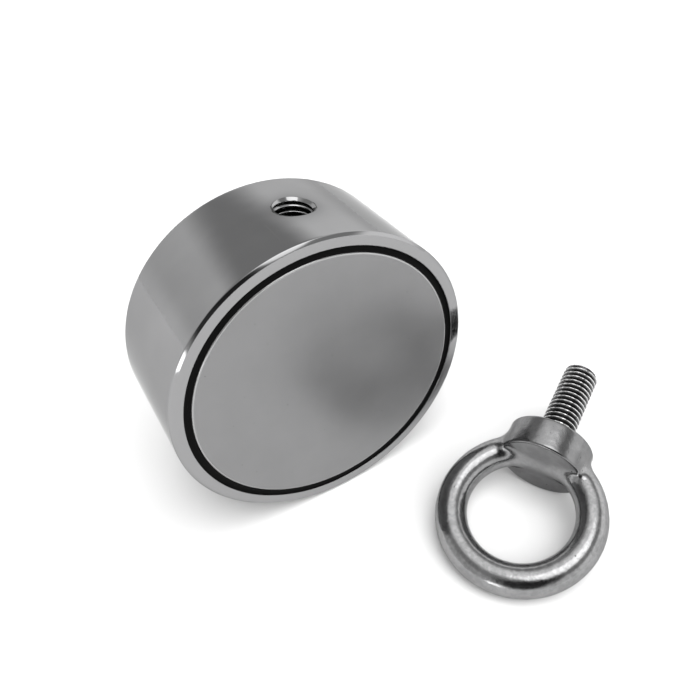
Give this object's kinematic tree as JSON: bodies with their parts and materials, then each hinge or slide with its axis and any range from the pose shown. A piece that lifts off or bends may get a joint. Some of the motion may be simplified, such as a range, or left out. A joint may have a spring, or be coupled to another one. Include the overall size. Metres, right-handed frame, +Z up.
{
  "type": "magnet fishing magnet",
  "caption": "Double-sided round pot magnet for magnet fishing, plated steel shell with a tapped side hole, and a loose forged eye bolt lying beside it.",
  "frame": {"origin": "centre of the front pole face", "axes": "-Y out of the front pole face along the magnet's axis, +Z up as the magnet lies on its curved side, +X towards the side where the eye bolt's shank points; the tapped hole on top leans 5.5 degrees towards +X"},
  "size_m": [0.113, 0.0977, 0.08],
  "materials": {
    "shell_steel": "polished bright plating over turned steel",
    "magnet_plating": "satin nickel plating",
    "black_epoxy": "smooth cast black epoxy",
    "adhesive": "hidden bed of epoxy glue",
    "forged_steel": "tumbled and polished forged stainless steel, slightly mottled"
  },
  "bodies": {
    "magnet": {"housing": "shell_steel", "front_magnet": "magnet_plating", "rear_magnet": "magnet_plating", "front_potting_ring": "black_epoxy", "rear_potting_ring": "black_epoxy", "front_adhesive": "adhesive", "rear_adhesive": "adhesive"},
    "eye_bolt": {"eye_bolt": "forged_steel"}
  },
  "joints": [
    {"name": "eye_bolt_carry", "type": "hinge", "parent": "magnet", "child": "eye_bolt", "pos_m": [0.08777, -0.00523, 0.07028], "axis": [-0.0858, 0.9545, -0.2856], "range_deg": [0, 115.67]}
  ]
}
